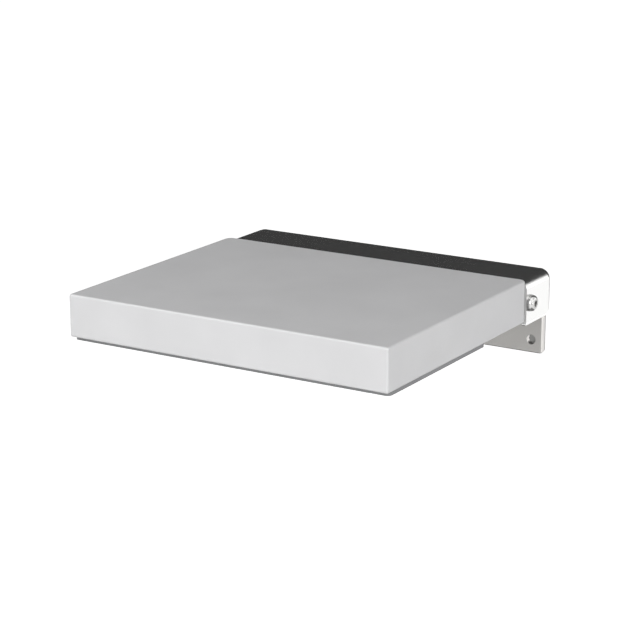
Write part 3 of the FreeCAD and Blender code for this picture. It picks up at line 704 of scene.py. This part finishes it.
@dataclass
class WallPlate:
    """The wall plate with eased edges and countersinks, and the gasket with its thin skins."""

    corner_round: float = 3 * MM
    eased: float = 1.5 * MM
    hole_radius: float = 5.25 * MM
    countersink: float = 4.7 * MM
    side_inset: float = 13.5 * MM
    end_inset: float = 15 * MM
    rim_break: float = 0.35 * MM
    skin: float = 0.8 * MM
    skin_depth: float = 0.9 * MM
    gasket_hole: float = 6.2 * MM

    def build(self, wardrobe: Wardrobe) -> list[bpy.types.Object]:
        """Build both in place of the CAD ones."""
        return [self.plate(wardrobe), self.gasket(wardrobe)]

    def rounded(self, low: Vector, high: Vector, front_ease: float) -> bmesh.types.BMesh:
        """A sheet with rounded corners and an eased front rim.

        Args:
            low: lowest corner.
            high: highest corner.
            front_ease: radius along the front rim.

        Returns:
            The sheet as a new mesh.
        """
        mesh = box_between(low, high)
        deep = [edge for edge in mesh.edges if abs(edge.verts[0].co.y - edge.verts[1].co.y) > MM]
        round_edges(mesh, deep, self.corner_round, 8)
        rim = [edge for edge in mesh.edges if on_rim(edge, lambda place: abs(place.y - low.y) < 1e-6)]
        round_edges(mesh, rim, front_ease, 4)
        return mesh

    def places(self) -> list[tuple[float, float]]:
        """Where the fixing holes are, across and up."""
        low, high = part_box("wall_plate")
        return [(place_x, place_z) for place_x in (low.x + self.side_inset, high.x - self.side_inset)
                for place_z in (low.z + self.end_inset, high.z - self.end_inset)]

    def plate(self, wardrobe: Wardrobe) -> bpy.types.Object:
        """Build the plate."""
        low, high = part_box("wall_plate")
        piece = as_object(self.rounded(low, high, self.eased), "wall_plate_eased")
        cutters = []
        inward = Vector((0, 1, 0))
        for place_x, place_z in self.places():
            middle = Vector((place_x, (low.y + high.y) / 2, place_z))
            cutters.append(rod_along(inward, middle, self.hole_radius, 4 * (high.y - low.y), 48))
            sink = self.countersink if place_z > 0 else self.rim_break
            front = Vector((place_x, low.y, place_z))
            cutters.append(rod_along(inward, front, self.hole_radius + 2 * sink, 2 * sink, 48,
                                     self.hole_radius))
        carve(piece, cutters)
        return dress(piece, wardrobe.get(PLATE_STEEL), Body.WALL, Slot.PLATE, "wall_plate")

    def gasket(self, wardrobe: Wardrobe) -> bpy.types.Object:
        """Build the gasket, with a thin skin left across its holes, which the fixings push through.

        Reflections skip it, so that the bores of the plate's holes mirror the studio behind them.
        """
        low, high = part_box("wall_gasket")
        piece = as_object(self.rounded(low, high, 0.2 * MM), "wall_gasket_sheet")
        behind = high.y - low.y - self.skin - self.skin_depth
        for level, depth in ((low.y, self.skin_depth), (high.y, behind)):
            carve(piece, [rod_along(Vector((0, 1, 0)), Vector((place_x, level, place_z)),
                                    self.gasket_hole, 2 * depth, 40) for place_x, place_z in self.places()])
        piece.visible_glossy = False
        return dress(piece, wardrobe.get(GASKET_RUBBER), Body.WALL, Slot.GASKET, "wall_gasket")


@dataclass
class ArmWelds:
    """Fillet welds at the arms' feet, two along each arm, with the ripples of a hand-laid bead."""

    radius: float = 2.4 * MM
    ripple: float = 0.25 * MM
    pitch: float = 1.9 * MM
    end_gap: float = 3 * MM
    head_level: float = 10 * MM
    cuts_per_ripple: int = 6
    lean: float = 0.6
    end_share: float = 0.25

    def build(self, wardrobe: Wardrobe) -> list[bpy.types.Object]:
        """Build the beads of both arms."""
        made = []
        for node in ("right_arm", "left_arm"):
            low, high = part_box(node)
            mesh = bmesh.new()
            for place_x in (low.x, high.x):
                bead = self.bead(place_x, high.y, low.z + self.end_gap, self.head_level - self.end_gap)
                part = bpy.data.meshes.new("bead")
                bead.to_mesh(part)
                bead.free()
                mesh.from_mesh(part)
                bpy.data.meshes.remove(part)
            made.append(dress(as_object(mesh, node + "_welds"), wardrobe.get(ARM_STEEL), Body.WALL,
                              Slot.ARM))
        return made

    def bead(self, place_x: float, place_y: float, bottom: float, top: float) -> bmesh.types.BMesh:
        """One bead standing along Z.

        Args:
            place_x: the arm's face.
            place_y: the plate's face.
            bottom: lower end.
            top: upper end.

        Returns:
            The bead as a new mesh.
        """
        length = top - bottom
        mesh = rod_along(Vector((0, 0, 1)), Vector((place_x, place_y, (bottom + top) / 2)), self.radius,
                         length, 20)
        long_edges = [edge for edge in mesh.edges
                      if abs(edge.verts[0].co.z - edge.verts[1].co.z) > length / 2]
        cuts = round(length / self.pitch * self.cuts_per_ripple)
        bmesh.ops.subdivide_edges(mesh, edges=long_edges, cuts=cuts)
        for vert in mesh.verts:
            out = Vector((vert.co.x - place_x, vert.co.y - place_y, 0))
            phase = (vert.co.z - bottom) / self.pitch + self.lean * out.x / self.radius
            ends = min(1.0, (vert.co.z - bottom) / self.radius + self.end_share,
                       (top - vert.co.z) / self.radius + self.end_share)
            grown = (1 - self.ripple / self.radius * abs(math.sin(math.pi * phase))) * ends
            vert.co -= out * (1 - grown)
        return mesh


def finish_cad_nodes(nodes: dict[str, bpy.types.Object], wardrobe: Wardrobe) -> None:
    """Give the CAD nodes that stay in sight their finishes.

    Args:
        nodes: CAD node objects by name.
        wardrobe: the finishes.
    """
    for finish, names in CAD_FINISHES.items():
        for name in names:
            for slot in nodes[name].material_slots:
                slot.material = wardrobe.get(finish)
            LOG.info("%s: %s", name, finish.name)


@dataclass(frozen=True)
class Lamp:
    """A square soft lamp that faces the seat."""

    name: str
    way: tuple[float, float, float]
    distance: float
    size: float
    watts: float

    def build(self, target: Vector) -> None:
        """Hang the lamp at its distance from a target."""
        data = bpy.data.lights.new(self.name, "AREA")
        data.shape, data.size, data.energy = "SQUARE", self.size, self.watts
        lamp = bpy.data.objects.new(self.name, data)
        way = Vector(self.way).normalized()
        facing = way.to_track_quat("Z", "Y").to_matrix().to_4x4()
        lamp.matrix_world = Matrix.Translation(target + way * self.distance) @ facing
        bpy.context.scene.collection.objects.link(lamp)


@dataclass(frozen=True)
class Card:
    """A card that only reflections show: it gives the steel its black, grey and white."""

    name: str
    light: float
    centre: tuple[float, float, float]
    normal: tuple[float, float, float]
    width: float
    height: float

    def build(self) -> None:
        """Stand the card in the studio."""
        mesh = bmesh.new()
        bmesh.ops.create_grid(mesh, x_segments=1, y_segments=1, size=0.5)
        bmesh.ops.scale(mesh, vec=(self.width, self.height, 1), verts=mesh.verts)
        facing = Vector(self.normal).to_track_quat("Z", "Y").to_matrix().to_4x4()
        bmesh.ops.transform(mesh, matrix=Matrix.Translation(self.centre) @ facing, verts=mesh.verts)
        card = as_object(mesh, self.name)
        material = bpy.data.materials.new(self.name)
        material.use_nodes = True
        shader = material.node_tree.nodes["Principled BSDF"]
        shader.inputs["Base Color"].default_value = (0, 0, 0, 1)
        shader.inputs["Specular IOR Level"].default_value = 0.0
        shader.inputs["Emission Color"].default_value = (1, 1, 1, 1)
        shader.inputs["Emission Strength"].default_value = self.light
        card.data.materials.append(material)
        card.visible_camera = card.visible_diffuse = card.visible_shadow = False


# Direction from the seat, distance, size and watts. They bring the slab's top, front and side to
# the photo's three greys; the last one keeps the back from going dark.
LAMPS = (
    Lamp("over_right", (0.45, -0.2, 0.87), 3.0, 2.4, 15.0),
    Lamp("high_left", (-0.5, -0.35, 0.79), 3.0, 2.4, 16.5),
    Lamp("mid_left", (-0.5, -0.64, 0.57), 3.0, 2.4, 17.0),
    Lamp("front", (0, -0.92, 0.4), 3.5, 2.4, 50.5),
    Lamp("camera_side", (0.5, -0.8, 0.33), 3.5, 2.4, 34.0),
    Lamp("right", (0.97, -0.1, 0.2), 3.5, 2.4, 38.0),
    Lamp("right_rear", (0.65, 0.72, 0.1), 3.5, 1.4, 7.0),
)
# Light, centre, normal, width and height. The dark ones give the hood's top, the screw and the
# plate's rims their darks, the grey ones the plate's face and feet, the bright one the flange.
CARDS = (
    Card("dark_back", 0.045, (-1.6, 1.5, 1.5), (0, -1, 0), 4.9, 3.84),
    Card("dark_top", 0.045, (-1.35, 0.6, 2.3), (0, 0, -1), 3.0, 1.8),
    Card("dark_right", 0.05, (1.62, -0.56, 0.365), (-0.94, 0.33, 0), 0.5, 1.57),
    Card("grey_front", 0.48, (-0.3, -0.78, -0.2), (0.52, 0.85, 0), 1.3, 0.44),
    Card("dark_below", 0.08, (-0.4, 0.0, -0.42), (0, 0, 1), 1.0, 1.0),
    Card("grey_foot", 0.3, (0.37, 0.1, -0.42), (0, 0, 1), 0.5, 0.7),
    Card("bright_rear", 1.12, (0.6, 0.72, -0.2), (-0.52, -0.85, 0), 0.66, 0.42),
)


@dataclass
class Studio:
    """Camera, lamps, floor, cards and world."""

    image: int = 636
    focal: float = 2093.81
    yaw: float = 31.648
    pitch: float = 15.679
    roll: float = -0.135
    eye: tuple[float, float, float] = (1.12484, -2.01443, 0.61469)
    target: tuple[float, float, float] = (0, -0.2, 0.03)
    floor_level: float = -0.425
    ambient: float = 0.06
    glow_near: float = 0.76
    glow_far: float = 0.98
    fade_start: float = 0.6
    fade_end: float = 4.0

    def build(self) -> None:
        """Build everything round the object."""
        self.camera()
        self.world()
        self.floor()
        for lamp in LAMPS:
            lamp.build(Vector(self.target))
        for card in CARDS:
            card.build()

    def camera(self) -> None:
        """Set the camera as the photo's was."""
        data = bpy.data.cameras.new("camera")
        data.sensor_width = 36.0
        data.lens = self.focal / self.image * data.sensor_width
        data.clip_end = 100.0
        yaw, pitch, roll = (math.radians(angle) for angle in (self.yaw, self.pitch, self.roll))
        ahead = Vector((-math.sin(yaw) * math.cos(pitch), math.cos(yaw) * math.cos(pitch),
                        -math.sin(pitch)))
        level = Vector((math.cos(yaw), math.sin(yaw), 0))
        upward = level.cross(ahead)
        right = level * math.cos(roll) + upward * math.sin(roll)
        up = upward * math.cos(roll) - level * math.sin(roll)
        turn = Matrix((right, up, -ahead)).transposed().to_4x4()
        eye = bpy.data.objects.new("camera", data)
        eye.matrix_world = Matrix.Translation(self.eye) @ turn
        bpy.context.scene.collection.objects.link(eye)
        bpy.context.scene.camera = eye
        bpy.context.scene.view_settings.view_transform = "Standard"

    @staticmethod
    def background_rays(tree: bpy.types.NodeTree) -> bpy.types.NodeSocket:
        """1 for rays that show the background: from the camera, or by gloss or glass."""
        path = add(tree, "LightPath", {})
        seen = add(tree, "Math", {0: path.outputs["Is Camera Ray"], 1: path.outputs["Is Glossy Ray"]},
                   operation="MAXIMUM")
        both = add(tree, "Math", {0: seen.outputs[0], 1: path.outputs["Is Transmission Ray"]},
                   operation="MAXIMUM")
        return both.outputs[0]

    def world(self) -> None:
        """White background, and a weak even light on the object."""
        world = bpy.data.worlds.new("studio")
        world.use_nodes = True
        tree = world.node_tree
        strength = add(tree, "MapRange", {"Value": self.background_rays(tree), "To Min": self.ambient})
        tree.links.new(strength.outputs["Result"], tree.nodes["Background"].inputs["Strength"])
        tree.nodes["Background"].inputs["Color"].default_value = (1, 1, 1, 1)
        bpy.context.scene.world = world

    def floor(self) -> None:
        """Plain pale floor that keeps the object's shadow, and fades to plain white far from it."""
        mesh = bmesh.new()
        bmesh.ops.create_grid(mesh, x_segments=1, y_segments=1, size=30.0)
        bmesh.ops.translate(mesh, vec=(0, 0, self.floor_level), verts=mesh.verts)
        floor = as_object(mesh, "floor")
        material = bpy.data.materials.new("white studio floor")
        material.use_nodes = True
        tree = material.node_tree
        shader = tree.nodes["Principled BSDF"]
        shader.inputs["Base Color"].default_value = linear("#E6E6E6")
        shader.inputs["Roughness"].default_value = 1.0
        shader.inputs["Specular IOR Level"].default_value = 0.0
        shader.inputs["Emission Color"].default_value = (1, 1, 1, 1)
        place = add(tree, "TexCoord", {}).outputs["Object"]
        away = add(tree, "VectorMath", {0: place}, operation="LENGTH").outputs["Value"]
        lift = add(tree, "MapRange", {"Value": away, "From Min": self.fade_start, "From Max": self.fade_end,
                                      "To Min": self.glow_near, "To Max": self.glow_far})
        glow = add(tree, "Math", {0: lift.outputs["Result"], 1: self.background_rays(tree)},
                   operation="MULTIPLY")
        tree.links.new(glow.outputs[0], shader.inputs["Emission Strength"])
        floor.data.materials.append(material)


def main() -> None:
    """Build the looks."""
    logging.basicConfig(level=logging.INFO, format="%(name)s: %(message)s")
    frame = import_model()
    wardrobe = Wardrobe()
    finish_cad_nodes(frame["nodes"], wardrobe)
    SeatSlab().build(wardrobe)
    HingeHood().build(wardrobe)
    WallPlate().build(wardrobe)
    Fasteners().build(wardrobe)
    ArmWelds().build(wardrobe)
    Studio().build()
    bpy.context.view_layer.update()


if __name__ == "__main__":
    main()
